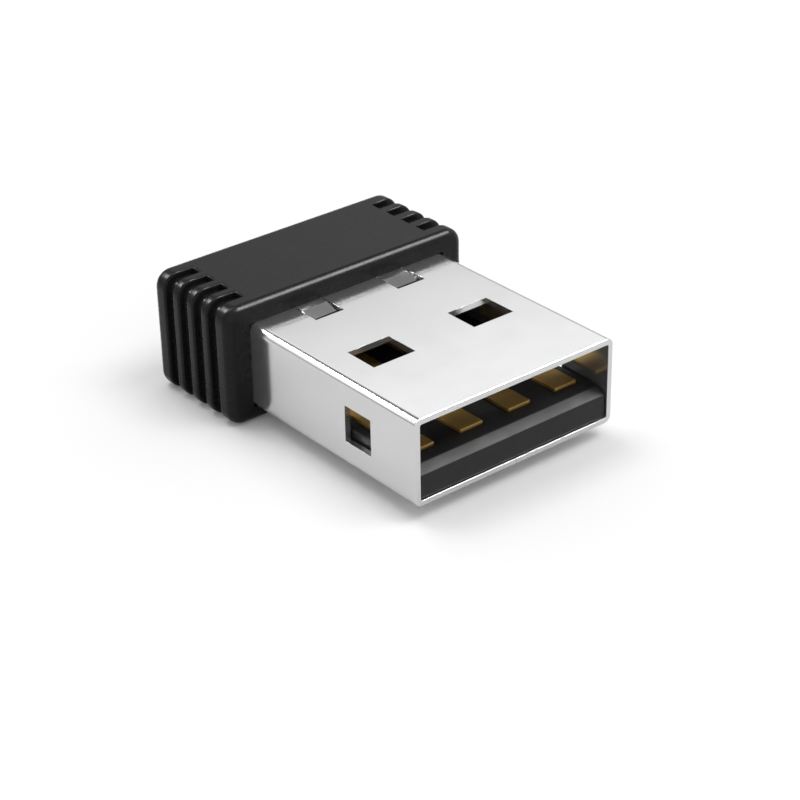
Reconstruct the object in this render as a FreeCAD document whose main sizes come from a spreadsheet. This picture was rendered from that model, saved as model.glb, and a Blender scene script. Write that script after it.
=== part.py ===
import FreeCAD, Part
import math
import os
import Sketcher

# Mouse jiggler in the form of a small type-A plug with a ribbed cap.
# Frame: X across the plug, the mouth of the plug at -Y, the back of the cap at +Y, Z up.
# The origin is under the middle of the whole length, on the plane that the cap lies on.
# All sizes are in millimetres.

DRIVING_SIZES = [
    # the moulded cap
    ("cap_width", 14.6),
    ("cap_depth", 6.2),
    ("cap_height", 6.3),
    ("cap_corner_radius", 0.85),
    ("cap_edge_radius", 0.4),
    ("cap_back_wall", 0.9),
    # the grooves round both ends of the cap
    ("groove_count", 4),
    ("groove_width", 0.65),
    ("groove_pitch", 1.18),
    ("groove_depth", 0.45),
    ("groove_reach", 1.7),
    # the rails in the cap that carry the back of the board
    ("rail_width", 0.6),
    ("rail_length", 1.9),
    # the latch bumps in the cap and their holes in the shell
    ("latch_height", 1.0),
    ("latch_length", 0.8),
    ("latch_reach", 0.28),
    ("latch_setback", 1.2),
    # the folded shell of the plug
    ("shell_width", 12.0),
    ("shell_height", 4.5),
    ("shell_wall", 0.35),
    ("shell_bend_radius", 0.05),
    ("shell_reach", 12.2),
    ("shell_insert", 2.9),
    ("shell_drop", 0.1),
    ("shell_rim_radius", 0.07),
    ("seam_gap", 0.06),
    ("seam_key_reach", 1.3),
    ("seam_key_length", 1.2),
    ("seam_key_flare", 0.25),
    ("seam_key_start", 2.6),
    ("seam_key_pitch", 6.0),
    # the windows in its top, bottom and sides
    ("window_width", 2.45),
    ("window_length", 1.95),
    ("window_start", 5.0),
    ("window_offset", 3.02),
    ("side_window_height", 1.87),
    ("side_window_length", 1.87),
    ("side_window_start", 3.13),
    # the two lanced tabs near the cap
    ("tab_width", 1.56),
    ("tab_length", 2.0),
    ("tab_tuck", 0.21),
    ("tab_offset", 2.54),
    ("tab_drop", 0.5),
    ("tab_gap", 0.06),
    # the moulded tongue
    ("tongue_thickness", 1.48),
    ("tongue_setback", 0.08),
    ("nose_length", 0.52),
    ("nose_drop", 0.3),
    ("block_length", 2.6),
    ("block_setback", 0.3),
    ("channel_depth", 0.05),
    # the four strip contacts
    ("contact_count", 4),
    ("contact_width", 1.36),
    ("contact_thickness", 0.2),
    ("contact_pitch", 2.92),
    ("contact_start", 1.44),
    ("contact_edge_radius", 0.06),
    ("contact_neck", 0.5),
    ("contact_tail_width", 0.84),
    ("contact_tail", 1.15),
    ("barb_length", 0.45),
    ("barb_setback", 1.1),
    # the circuit board and its copper
    ("board_thickness", 0.6),
    ("board_corner_radius", 0.4),
    ("pad_thickness", 0.05),
    ("pad_margin", 0.1),
    # the controller chip
    ("chip_width", 3.0),
    ("chip_length", 3.0),
    ("chip_height", 0.8),
    ("chip_standoff", 0.1),
    ("chip_bevel", 0.12),
    ("chip_dot_radius", 0.22),
    ("chip_dot_depth", 0.05),
    ("lead_count", 5),
    ("lead_pitch", 0.5),
    ("lead_width", 0.22),
    ("lead_thickness", 0.12),
    ("lead_reach", 0.9),
    ("lead_foot", 0.45),
    # the clock crystal
    ("crystal_width", 2.0),
    ("crystal_length", 2.5),
    ("crystal_base_height", 0.3),
    ("crystal_lid_height", 0.25),
    ("crystal_lid_margin", 0.12),
    ("crystal_lid_radius", 0.2),
    ("crystal_land", 0.7),
    # the voltage regulator
    ("regulator_width", 1.5),
    ("regulator_length", 2.8),
    ("regulator_height", 0.9),
    ("regulator_reach", 0.5),
    ("regulator_foot", 0.28),
    ("regulator_lead_width", 0.4),
    ("regulator_lead_pitch", 1.9),
    # the small capacitors and resistors under the board
    ("passive_count", 3),
    ("passive_length", 1.0),
    ("passive_width", 0.5),
    ("passive_terminal", 0.22),
    ("passive_pitch", 2.6),
    ("capacitor_height", 0.5),
    ("resistor_height", 0.35),
    ("passive_inset", 0.02),
    # solder
    ("solder_height", 0.15),
    ("solder_length", 0.3),
    ("solder_waist", 0.33),
    ("shell_solder_leg", 0.45),
    ("shell_solder_length", 1.1),
    # clearances
    ("fit_gap", 0.04),
    ("part_spacing", 0.3),
    ("cut_margin", 1.0),
]

# Two levels closer than this are one level.
SAME_LEVEL = 1e-4

doc = FreeCAD.newDocument("MouseJiggler")
sheet = doc.addObject("Spreadsheet::Sheet", "Sizes")
for row, (alias, size) in enumerate(DRIVING_SIZES, start=1):
    sheet.set(f"A{row}", alias)
    sheet.set(f"B{row}", str(size))
    sheet.setAlias(f"B{row}", alias)
doc.recompute()

# Places along Y
MOUTH = "(-(Sizes.shell_reach + Sizes.cap_depth) / 2)"
CAP_FRONT = "((Sizes.shell_reach - Sizes.cap_depth) / 2)"
CAP_BACK = "((Sizes.shell_reach + Sizes.cap_depth) / 2)"
SHELL_BACK = f"({CAP_FRONT} + Sizes.shell_insert)"
BLOCK_BACK = f"({CAP_FRONT} - Sizes.block_setback)"
BLOCK_FRONT = f"({BLOCK_BACK} - Sizes.block_length)"
TAB_ROOT = f"({CAP_FRONT} + Sizes.tab_tuck)"
TAB_TIP = f"({TAB_ROOT} - Sizes.tab_length)"
TAIL_END = f"({BLOCK_BACK} + Sizes.contact_tail)"
CAVITY_BACK = f"({CAP_BACK} - Sizes.cap_back_wall)"
BOARD_FRONT = f"({BLOCK_BACK} + Sizes.fit_gap)"
BOARD_BACK = f"({CAVITY_BACK} - Sizes.fit_gap)"
PARTS_FRONT = f"({TAIL_END} + Sizes.solder_length + Sizes.part_spacing)"
CHIP_MIDDLE = f"({PARTS_FRONT} + Sizes.chip_length / 2)"
CAPACITOR_ROW = f"({PARTS_FRONT} + Sizes.passive_width / 2)"
FIRST_LEAD = f"({CHIP_MIDDLE} - (Sizes.lead_count - 1) * Sizes.lead_pitch / 2)"
RESISTOR_ROW = f"({CAPACITOR_ROW} + Sizes.passive_width + 2 * Sizes.part_spacing)"

# Places along Z
AXIS = "(Sizes.cap_height / 2 - Sizes.shell_drop)"
SHELL_TOP = f"({AXIS} + Sizes.shell_height / 2)"
INNER_FLOOR = f"({AXIS} - Sizes.shell_height / 2 + Sizes.shell_wall)"
INNER_CEILING = f"({SHELL_TOP} - Sizes.shell_wall)"
TONGUE_TOP = f"({INNER_FLOOR} + Sizes.tongue_thickness)"
CONTACT_BOTTOM = f"({TONGUE_TOP} - Sizes.channel_depth)"
BOARD_TOP = f"({CONTACT_BOTTOM} - Sizes.pad_thickness)"
BOARD_BOTTOM = f"({BOARD_TOP} - Sizes.board_thickness)"
UNDER_PADS = f"({BOARD_BOTTOM} - Sizes.pad_thickness)"

# Places along X
CAP_SIDE = "(Sizes.cap_width / 2)"
SHELL_SIDE = "(Sizes.shell_width / 2)"
INNER_SIDE = f"({SHELL_SIDE} - Sizes.shell_wall)"
SOCKET_SIDE = f"({SHELL_SIDE} + Sizes.fit_gap)"
BOARD_SIDE = f"({INNER_SIDE} - 2 * Sizes.fit_gap)"
CHIP_PLACE = f"(-({BOARD_SIDE} - Sizes.part_spacing - Sizes.lead_reach - Sizes.chip_width / 2))"
FIRST_CONTACT = "(-(Sizes.contact_count - 1) * Sizes.contact_pitch / 2)"
FIRST_PASSIVE = "(-(Sizes.passive_count - 1) * Sizes.passive_pitch / 2)"
REGULATOR_PLACE = (f"({BOARD_SIDE} - Sizes.part_spacing - Sizes.regulator_reach"
                   " - Sizes.regulator_width / 2)")
CRYSTAL_PLACE = (f"(({CHIP_PLACE} + Sizes.chip_width / 2 + Sizes.lead_reach + {REGULATOR_PLACE}"
                 " - Sizes.regulator_width / 2 - Sizes.regulator_reach) / 2)")


def number(expression):
    """Value of an expression on the sheet."""
    return float(sheet.evalExpression(expression))


def new_body(label, several=False):
    """Empty body; several lets it hold solids that don't touch, as a group of like pieces."""
    body = doc.addObject("PartDesign::Body", label)
    body.Label = label
    body.AllowCompound = several
    return body


def origin_feature(body, role):
    """Plane or axis of the body's own origin."""
    return next(feature for feature in body.Origin.OriginFeatures if feature.Role == role)


def new_sketch(body, name, role, level="0", across="0", up="0"):
    """Sketch on an origin plane, moved along the global axis that the plane faces to a level.

    A sketch on XZ_Plane faces -Y, so its own offset is minus the level.
    """
    sketch = body.newObject("Sketcher::SketchObject", name)
    sketch.AttachmentSupport = (origin_feature(body, role), [""])
    sketch.MapMode = "FlatFace"
    sign = "-" if role == "XZ_Plane" else ""
    sketch.setExpression("AttachmentOffset.Base.x", across)
    sketch.setExpression("AttachmentOffset.Base.y", up)
    sketch.setExpression("AttachmentOffset.Base.z", f"{sign}({level})")
    return sketch


def dimension(sketch, kind, geometry, end, expression):
    """Distance of a line's end from the sketch's origin, along X or Y, bound to an expression."""
    index = sketch.addConstraint(
        Sketcher.Constraint(kind, -1, 1, geometry, end, number(expression)))
    sketch.setExpression(f"Constraints[{index}]", expression)


def draw_polygon(sketch, points):
    """Closed outline of straight lines through points, each an X and a Y expression."""
    places = [FreeCAD.Vector(number(x), number(y), 0) for x, y in points]
    count = len(points)
    lines = [sketch.addGeometry(Part.LineSegment(places[i], places[(i + 1) % count]), False)
             for i in range(count)]
    for i, (x, y) in enumerate(points):
        sketch.addConstraint(Sketcher.Constraint("Coincident", lines[i - 1], 2, lines[i], 1))
        dimension(sketch, "DistanceX", lines[i], 1, x)
        dimension(sketch, "DistanceY", lines[i], 1, y)


def draw_square_outline(sketch, corners):
    """Closed outline of level and upright lines, where a corner may be rounded.

    Each corner is an X expression, a Y expression and a radius expression or None. The first
    line, from the first corner to the second, is level.
    """
    count = len(corners)
    places = [FreeCAD.Vector(number(x), number(y), 0) for x, y, _ in corners]
    radii = [number(radius) if radius else 0.0 for _, _, radius in corners]
    ways = [(places[(i + 1) % count] - places[i]).normalize() for i in range(count)]
    lines = []
    for i in range(count):
        start = places[i] + ways[i] * radii[i]
        end = places[(i + 1) % count] - ways[i] * radii[(i + 1) % count]
        lines.append(sketch.addGeometry(Part.LineSegment(start, end), False))
        level = i % 2 == 0
        sketch.addConstraint(Sketcher.Constraint("Horizontal" if level else "Vertical", lines[i]))
        x, y, _ = corners[i]
        dimension(sketch, "DistanceY" if level else "DistanceX", lines[i], 1, y if level else x)
    for i, (_, _, radius) in enumerate(corners):
        before, after = lines[i - 1], lines[i]
        if not radius:
            sketch.addConstraint(Sketcher.Constraint("Coincident", before, 2, after, 1))
            continue
        came, leaves = ways[i - 1], ways[i]
        centre = places[i] - came * radii[i] + leaves * radii[i]
        left_turn = came.cross(leaves).z > 0
        outward = -leaves if left_turn else came
        start_angle = math.atan2(outward.y, outward.x)
        circle = Part.Circle(centre, FreeCAD.Vector(0, 0, 1), radii[i])
        arc = sketch.addGeometry(
            Part.ArcOfCircle(circle, start_angle, start_angle + math.pi / 2), False)
        first, last = (1, 2) if left_turn else (2, 1)
        sketch.addConstraint(Sketcher.Constraint("Tangent", before, 2, arc, first))
        sketch.addConstraint(Sketcher.Constraint("Tangent", arc, last, after, 1))
        index = sketch.addConstraint(Sketcher.Constraint("Radius", arc, radii[i]))
        sketch.setExpression(f"Constraints[{index}]", radius)


def draw_box(sketch, left, low, right, high, radius=None):
    """Closed rectangle between two X and two Y expressions, with one radius for its corners."""
    draw_square_outline(sketch, [
        (left, low, radius), (right, low, radius), (right, high, radius), (left, high, radius)])


def draw_ring(sketch, radius):
    """Circle round the sketch's origin."""
    circle = Part.Circle(FreeCAD.Vector(), FreeCAD.Vector(0, 0, 1), number(radius))
    ring = sketch.addGeometry(circle, False)
    sketch.addConstraint(Sketcher.Constraint("Coincident", ring, 3, -1, 1))
    index = sketch.addConstraint(Sketcher.Constraint("Radius", ring, number(radius)))
    sketch.setExpression(f"Constraints[{index}]", radius)


def pad(body, sketch, length, backwards=False, both_ways=False):
    """Pad of a sketch along its normal, against it, or half each way."""
    feature = body.newObject("PartDesign::Pad", f"{sketch.Name}_pad")
    feature.Profile = sketch
    feature.setExpression("Length", length)
    feature.Reversed = backwards
    feature.Midplane = both_ways
    doc.recompute()
    return feature


def pocket(body, sketch, length=None, backwards=False):
    """Pocket of a sketch against its normal, or along it, through all where it has no length.

    It raises an error if nothing was cut.
    """
    before = body.Shape.Volume
    feature = body.newObject("PartDesign::Pocket", f"{sketch.Name}_pocket")
    feature.Profile = sketch
    if length is None:
        feature.Type = "ThroughAll"
    else:
        feature.setExpression("Length", length)
    feature.Reversed = backwards
    doc.recompute()
    if feature.Shape.Volume >= before:
        raise RuntimeError(f"{feature.Label} of {body.Label} cut nothing")
    return feature


def row_of(body, feature, role, pitch, count):
    """Linear pattern of a feature along an origin axis."""
    pattern = body.newObject("PartDesign::LinearPattern", f"{feature.Name}_row")
    pattern.Originals = [feature]
    pattern.Direction = (origin_feature(body, role), [""])
    pattern.Mode = "Spacing"
    pattern.setExpression("Offset", pitch)
    pattern.setExpression("Occurrences", count)
    body.Tip = pattern
    doc.recompute()
    return pattern


def mirror(body, features, plane):
    """Mirrored copy of features on the other side of a plane or of a sketch's upright axis."""
    pattern = body.newObject("PartDesign::Mirrored", f"{features[0].Name}_mirrored")
    pattern.Originals = features
    pattern.MirrorPlane = plane
    body.Tip = pattern
    doc.recompute()
    return pattern


def dress_edges(body, kind, chosen, size):
    """Fillet or chamfer of the tip's edges that the function chosen accepts."""
    base = body.Tip
    names = [f"Edge{i}" for i, edge in enumerate(base.Shape.Edges, start=1) if chosen(edge)]
    feature = body.newObject(f"PartDesign::{kind}", f"{body.Label}_{kind.lower()}")
    feature.Base = (base, names)
    feature.setExpression("Radius" if kind == "Fillet" else "Size", size)
    doc.recompute()
    return feature


def at_level(axis, *expressions):
    """Test for an edge that lies wholly in a plane across an axis at one of some levels."""
    levels = [number(expression) for expression in expressions]

    def test(edge):
        low = getattr(edge.BoundBox, f"{axis}Min")
        high = getattr(edge.BoundBox, f"{axis}Max")
        return any(max(abs(low - level), abs(high - level)) < SAME_LEVEL for level in levels)

    return test


def make_cap():
    """Ribbed cap: a moulded cup with grooves round both ends and a socket for the shell."""
    body = new_body("cap")
    outline = new_sketch(body, "cap_outline", "XZ_Plane", CAP_FRONT)
    draw_box(outline, f"-{CAP_SIDE}", "0", CAP_SIDE, "Sizes.cap_height", "Sizes.cap_corner_radius")
    pad(body, outline, "Sizes.cap_depth", backwards=True)
    dress_edges(body, "Fillet", at_level("Y", CAP_FRONT, CAP_BACK), "Sizes.cap_edge_radius")

    gap = "Sizes.fit_gap"
    socket = new_sketch(body, "cap_socket", "XZ_Plane", CAP_FRONT)
    draw_box(socket, f"-{SOCKET_SIDE}", f"{INNER_FLOOR} - Sizes.shell_wall - {gap}",
             SOCKET_SIDE, f"{SHELL_TOP} + {gap}",
             f"Sizes.shell_bend_radius + Sizes.shell_wall + {gap}")
    pocket(body, socket, "Sizes.shell_insert")
    cavity = new_sketch(body, "cap_cavity", "XZ_Plane", CAP_FRONT)
    draw_box(cavity, f"-{INNER_SIDE}", INNER_FLOOR, INNER_SIDE, INNER_CEILING)
    pocket(body, cavity, "Sizes.cap_depth - Sizes.cap_back_wall")

    rails = new_sketch(body, "cap_rails", "XZ_Plane", f"{CAVITY_BACK} - Sizes.rail_length")
    rail_inner = f"({INNER_SIDE} - Sizes.rail_width)"
    for left, right in ((f"-{INNER_SIDE}", f"-{rail_inner}"), (rail_inner, INNER_SIDE)):
        draw_box(rails, left, INNER_FLOOR, right, BOARD_BOTTOM)
    pad(body, rails, "Sizes.rail_length", backwards=True)

    latches = new_sketch(body, "cap_latches", "XY_Plane", AXIS)
    front = f"({CAP_FRONT} + Sizes.latch_setback)"
    back = f"({front} + Sizes.latch_length)"
    for sign in ("-", ""):
        wall = f"{sign}({SOCKET_SIDE})"
        tip = f"{sign}({SOCKET_SIDE} - Sizes.latch_reach)"
        draw_polygon(latches, [
            (wall, front), (tip, f"{back} - Sizes.latch_reach"), (tip, back), (wall, back)])
    pad(body, latches, "Sizes.latch_height", both_ways=True)

    grooves = new_sketch(
        body, "cap_grooves", "XZ_Plane",
        f"({CAP_FRONT} + {CAP_BACK} - (Sizes.groove_count - 1) * Sizes.groove_pitch"
        " - Sizes.groove_width) / 2")
    inner_end = f"({CAP_SIDE} - Sizes.groove_reach)"
    floor_end = f"({CAP_SIDE} - Sizes.groove_depth)"
    far_end = f"({CAP_SIDE} + Sizes.cut_margin)"
    over = "(Sizes.cap_height + Sizes.cut_margin)"
    under = "-Sizes.cut_margin"
    low = "Sizes.groove_depth"
    high = "(Sizes.cap_height - Sizes.groove_depth)"
    bend = "(Sizes.cap_corner_radius - Sizes.groove_depth)"
    for sign in ("-", ""):
        draw_square_outline(grooves, [
            (f"{sign}{inner_end}", over, None), (f"{sign}{far_end}", over, None),
            (f"{sign}{far_end}", under, None), (f"{sign}{inner_end}", under, None),
            (f"{sign}{inner_end}", low, None), (f"{sign}{floor_end}", low, bend),
            (f"{sign}{floor_end}", high, bend), (f"{sign}{inner_end}", high, None)])
    groove = pocket(body, grooves, "Sizes.groove_width")
    row_of(body, groove, "Y_Axis", "Sizes.groove_pitch", "Sizes.groove_count")
    return body


def seam_outline():
    """Outline of the gap where the folded sheet meets itself, keyed by two dovetails.

    The left edge of the sheet carries the keys, and the right edge has their sockets, one gap
    wider all round.
    """
    slant = "Sizes.seam_key_flare / Sizes.seam_key_reach"
    clearance = f"Sizes.seam_gap * ({slant} + sqrt(1 + ({slant}) ^ 2))"
    half = "Sizes.seam_gap / 2"
    front, back = f"{MOUTH} - Sizes.cut_margin", f"{SHELL_BACK} + Sizes.cut_margin"
    left, right = [(f"-{half}", front)], [(half, front)]
    for key in ("0", "Sizes.seam_key_pitch"):
        start = f"({MOUTH} + Sizes.seam_key_start + {key})"
        end = f"({start} + Sizes.seam_key_length)"
        flare = "Sizes.seam_key_flare"
        reach = "Sizes.seam_key_reach"
        left += [(f"-{half}", start), (f"{reach} - {half}", f"{start} - {flare}"),
                 (f"{reach} - {half}", f"{end} + {flare}"), (f"-{half}", end)]
        right += [(half, f"{start} - {clearance}"),
                  (f"{reach} + {half}", f"{start} - {flare} - {clearance}"),
                  (f"{reach} + {half}", f"{end} + {flare} + {clearance}"),
                  (half, f"{end} + {clearance}")]
    return left + [(f"-{half}", back), (half, back)] + right[::-1]


def make_plug_shell():
    """Folded shell: a sheet tube with a keyed seam underneath, windows and two lanced tabs."""
    body = new_body("plug_shell")
    section = new_sketch(body, "shell_section", "XZ_Plane", MOUTH)
    bottom = f"({INNER_FLOOR} - Sizes.shell_wall)"
    draw_box(section, f"-{SHELL_SIDE}", bottom, SHELL_SIDE, SHELL_TOP,
             "Sizes.shell_bend_radius + Sizes.shell_wall")
    draw_box(section, f"-{INNER_SIDE}", INNER_FLOOR, INNER_SIDE, INNER_CEILING,
             "Sizes.shell_bend_radius")
    pad(body, section, "Sizes.shell_reach + Sizes.shell_insert", backwards=True)
    on_mouth = at_level("Y", MOUTH)
    outer_half = number(INNER_SIDE) + number("Sizes.shell_wall") / 2
    outer_low = number(INNER_FLOOR) - number("Sizes.shell_wall") / 2
    outer_high = number(INNER_CEILING) + number("Sizes.shell_wall") / 2

    def outer_rim(edge):
        middle = edge.valueAt((edge.FirstParameter + edge.LastParameter) / 2)
        outside = abs(middle.x) > outer_half or middle.z < outer_low or middle.z > outer_high
        return on_mouth(edge) and outside

    dress_edges(body, "Fillet", outer_rim, "Sizes.shell_rim_radius")

    windows = new_sketch(body, "shell_windows", "XY_Plane", f"{SHELL_TOP} + Sizes.cut_margin")
    window_front = f"({MOUTH} + Sizes.window_start)"
    for sign in ("-", ""):
        middle = f"{sign}Sizes.window_offset"
        draw_box(windows, f"{middle} - Sizes.window_width / 2", window_front,
                 f"{middle} + Sizes.window_width / 2", f"{window_front} + Sizes.window_length")
    pocket(body, windows)

    sides = new_sketch(body, "shell_sides", "YZ_Plane", f"{SHELL_SIDE} + Sizes.cut_margin")
    side_front = f"({MOUTH} + Sizes.side_window_start)"
    draw_box(sides, side_front, f"{AXIS} - Sizes.side_window_height / 2",
             f"{side_front} + Sizes.side_window_length", f"{AXIS} + Sizes.side_window_height / 2")
    latch_front = f"({CAP_FRONT} + Sizes.latch_setback - Sizes.fit_gap)"
    latch_half = "(Sizes.latch_height / 2 + Sizes.fit_gap)"
    draw_box(sides, latch_front, f"{AXIS} - {latch_half}",
             f"{latch_front} + Sizes.latch_length + 2 * Sizes.fit_gap", f"{AXIS} + {latch_half}")
    pocket(body, sides)

    seam = new_sketch(body, "shell_seam", "XY_Plane", AXIS)
    draw_polygon(seam, seam_outline())
    pocket(body, seam, "Sizes.shell_height / 2 + Sizes.cut_margin")

    notches = new_sketch(body, "shell_notches", "XY_Plane", AXIS)
    notch_half = "(Sizes.tab_width / 2 + Sizes.tab_gap)"
    for sign in ("-", ""):
        middle = f"{sign}Sizes.tab_offset"
        draw_box(notches, f"{middle} - {notch_half}", f"{TAB_TIP} - Sizes.tab_gap",
                 f"{middle} + {notch_half}", TAB_ROOT)
    pocket(body, notches, "Sizes.shell_height / 2 + Sizes.cut_margin", backwards=True)

    tab = new_sketch(body, "shell_tab", "YZ_Plane", "Sizes.tab_offset")
    draw_polygon(tab, [
        (TAB_ROOT, INNER_CEILING), (TAB_ROOT, SHELL_TOP),
        (TAB_TIP, f"{SHELL_TOP} - Sizes.tab_drop"), (TAB_TIP, f"{INNER_CEILING} - Sizes.tab_drop")])
    right_tab = pad(body, tab, "Sizes.tab_width", both_ways=True)
    mirror(body, [right_tab], (origin_feature(body, "YZ_Plane"), [""]))
    return body


def make_tongue():
    """Moulded tongue with a sloped nose, a block that closes the shell, and contact channels."""
    body = new_body("tongue")
    profile = new_sketch(body, "tongue_profile", "YZ_Plane")
    nose = f"({MOUTH} + Sizes.tongue_setback)"
    block_top = f"({INNER_CEILING} - Sizes.fit_gap)"
    draw_polygon(profile, [
        (nose, INNER_FLOOR), (nose, f"{TONGUE_TOP} - Sizes.nose_drop"),
        (f"{nose} + Sizes.nose_length", TONGUE_TOP), (BLOCK_FRONT, TONGUE_TOP),
        (BLOCK_FRONT, block_top), (BLOCK_BACK, block_top), (BLOCK_BACK, INNER_FLOOR)])
    pad(body, profile, f"2 * ({INNER_SIDE} - Sizes.fit_gap)", both_ways=True)
    on_floor = at_level("Z", INNER_FLOOR)
    on_side = at_level("X", f"-({INNER_SIDE} - Sizes.fit_gap)", f"{INNER_SIDE} - Sizes.fit_gap")
    dress_edges(body, "Chamfer", lambda edge: on_floor(edge) and on_side(edge),
                "Sizes.shell_bend_radius")

    recess = new_sketch(body, "tongue_recess", "XY_Plane", f"{block_top} + Sizes.cut_margin")
    recess_half = "(Sizes.tab_width / 2 + Sizes.tab_gap)"
    for sign in ("-", ""):
        middle = f"{sign}Sizes.tab_offset"
        draw_box(recess, f"{middle} - {recess_half}", f"{TAB_TIP} - Sizes.tab_gap",
                 f"{middle} + {recess_half}", f"{BLOCK_BACK} + Sizes.cut_margin")
    pocket(body, recess, "Sizes.tab_drop + Sizes.cut_margin")

    channel = new_sketch(body, "tongue_channel", "XZ_Plane",
                         f"{MOUTH} + Sizes.contact_start - Sizes.fit_gap",
                         across=FIRST_CONTACT)
    channel_half = "(Sizes.contact_width / 2 + Sizes.fit_gap)"
    draw_box(channel, f"-{channel_half}", CONTACT_BOTTOM,
             channel_half, f"{CONTACT_BOTTOM} + Sizes.contact_thickness + Sizes.fit_gap")
    first = pocket(body, channel)
    row_of(body, first, "X_Axis", "Sizes.contact_pitch", "Sizes.contact_count")
    return body


def make_contact(label, place):
    """Flat strip contact: a wide blade, a barbed neck held in the block, and a soldered tail."""
    body = new_body(label)
    outline = new_sketch(body, f"{label}_outline", "XY_Plane", CONTACT_BOTTOM,
                         across=f"{FIRST_CONTACT} + {place} * Sizes.contact_pitch")
    half = "Sizes.contact_width / 2"
    tail = "Sizes.contact_tail_width / 2"
    front = f"({MOUTH} + Sizes.contact_start)"
    neck = f"({BLOCK_FRONT} + Sizes.contact_neck)"
    barb = f"({BLOCK_FRONT} + Sizes.barb_setback)"
    right = [(half, front), (half, neck), (tail, neck), (tail, barb), (half, barb),
             (tail, f"{barb} + Sizes.barb_length"), (tail, TAIL_END)]
    left = [(f"-{x}", y) for x, y in reversed(right)]
    draw_polygon(outline, right + left)
    pad(body, outline, "Sizes.contact_thickness")
    on_front = at_level("Y", front)
    on_top = at_level("Z", f"{CONTACT_BOTTOM} + Sizes.contact_thickness")
    dress_edges(body, "Fillet", lambda edge: on_front(edge) and on_top(edge),
                "Sizes.contact_edge_radius")
    return body


def make_circuit_board():
    """Board from the block to the cap's back wall, with rounded back corners."""
    body = new_body("circuit_board")
    outline = new_sketch(body, "board_outline", "XY_Plane", BOARD_BOTTOM)
    draw_square_outline(outline, [
        (f"-{BOARD_SIDE}", BOARD_FRONT, None), (BOARD_SIDE, BOARD_FRONT, None),
        (BOARD_SIDE, BOARD_BACK, "Sizes.board_corner_radius"),
        (f"-{BOARD_SIDE}", BOARD_BACK, "Sizes.board_corner_radius")])
    pad(body, outline, "Sizes.board_thickness")
    return body


def draw_terminals(sketch):
    """Footprints of the two metal ends of a small part centred on the sketch's origin."""
    end = "Sizes.passive_length / 2"
    inner = f"({end} - Sizes.passive_terminal)"
    half = "Sizes.passive_width / 2"
    draw_box(sketch, f"-{end}", f"-{half}", f"-{inner}", half)
    draw_box(sketch, inner, f"-{half}", end, half)


def make_board_pads():
    """Copper pads on both faces of the board, one solid each."""
    body = new_body("board_pads", several=True)
    thickness = "Sizes.pad_thickness"

    tails = new_sketch(body, "tail_land", "XY_Plane", BOARD_TOP, across=FIRST_CONTACT)
    draw_box(tails, "-Sizes.contact_tail_width / 2", f"{BOARD_FRONT} + Sizes.pad_margin",
             "Sizes.contact_tail_width / 2", f"{TAIL_END} + Sizes.solder_length")
    row_of(body, pad(body, tails, thickness), "X_Axis", "Sizes.contact_pitch",
           "Sizes.contact_count")

    chip = new_sketch(body, "chip_lands", "XY_Plane", BOARD_TOP, across=CHIP_PLACE,
                      up=FIRST_LEAD)
    toe = "(Sizes.chip_width / 2 + Sizes.lead_reach)"
    half = "Sizes.lead_width / 2"
    draw_box(chip, f"-{toe}", f"-{half}", f"-({toe} - Sizes.lead_foot)", half)
    draw_box(chip, f"{toe} - Sizes.lead_foot", f"-{half}", toe, half)
    row_of(body, pad(body, chip, thickness), "Y_Axis", "Sizes.lead_pitch", "Sizes.lead_count")

    others = new_sketch(body, "part_lands", "XY_Plane", BOARD_TOP)
    land = "Sizes.crystal_land"
    side = "Sizes.crystal_width / 2"
    end = "Sizes.crystal_length / 2"
    for left, right in ((f"-{side}", f"-{side} + {land}"), (f"{side} - {land}", side)):
        for low, high in ((f"-{end}", f"-{end} + {land}"), (f"{end} - {land}", end)):
            draw_box(others, f"{CRYSTAL_PLACE} + {left}", f"{CHIP_MIDDLE} + {low}",
                     f"{CRYSTAL_PLACE} + {right}", f"{CHIP_MIDDLE} + {high}")
    toe = "(Sizes.regulator_width / 2 + Sizes.regulator_reach)"
    heel = f"({toe} - Sizes.regulator_foot)"
    half = "Sizes.regulator_lead_width / 2"
    for shift in ("-Sizes.regulator_lead_pitch / 2", "Sizes.regulator_lead_pitch / 2"):
        draw_box(others, f"{REGULATOR_PLACE} - {toe}", f"{CHIP_MIDDLE} + {shift} - {half}",
                 f"{REGULATOR_PLACE} - {heel}", f"{CHIP_MIDDLE} + {shift} + {half}")
    draw_box(others, f"{REGULATOR_PLACE} + {heel}", f"{CHIP_MIDDLE} - {half}",
             f"{REGULATOR_PLACE} + {toe}", f"{CHIP_MIDDLE} + {half}")
    pad(body, others, thickness)

    for name, line in (("capacitor_lands", CAPACITOR_ROW), ("resistor_lands", RESISTOR_ROW)):
        under = new_sketch(body, name, "XY_Plane", UNDER_PADS, across=FIRST_PASSIVE, up=line)
        draw_terminals(under)
        row_of(body, pad(body, under, thickness), "X_Axis", "Sizes.passive_pitch",
               "Sizes.passive_count")
    return body


def make_chip_body(label, place, width, length, height):
    """Moulded package: bevelled upper edges and a round dimple beside its first lead."""
    body = new_body(label)
    bottom = f"({CONTACT_BOTTOM} + Sizes.chip_standoff)"
    outline = new_sketch(body, f"{label}_outline", "XY_Plane", bottom, across=place,
                         up=CHIP_MIDDLE)
    draw_box(outline, f"-{width} / 2", f"-{length} / 2", f"{width} / 2", f"{length} / 2")
    pad(body, outline, height)
    top = f"({bottom} + {height})"
    dress_edges(body, "Chamfer", at_level("Z", top), "Sizes.chip_bevel")
    dimple = new_sketch(body, f"{label}_dimple", "XY_Plane", top,
                        across=f"{place} - {width} / 2 + 2 * Sizes.chip_dot_radius",
                        up=f"{CHIP_MIDDLE} - {length} / 2 + 2 * Sizes.chip_dot_radius")
    draw_ring(dimple, "Sizes.chip_dot_radius")
    pocket(body, dimple, "Sizes.chip_dot_depth")
    return body


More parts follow.
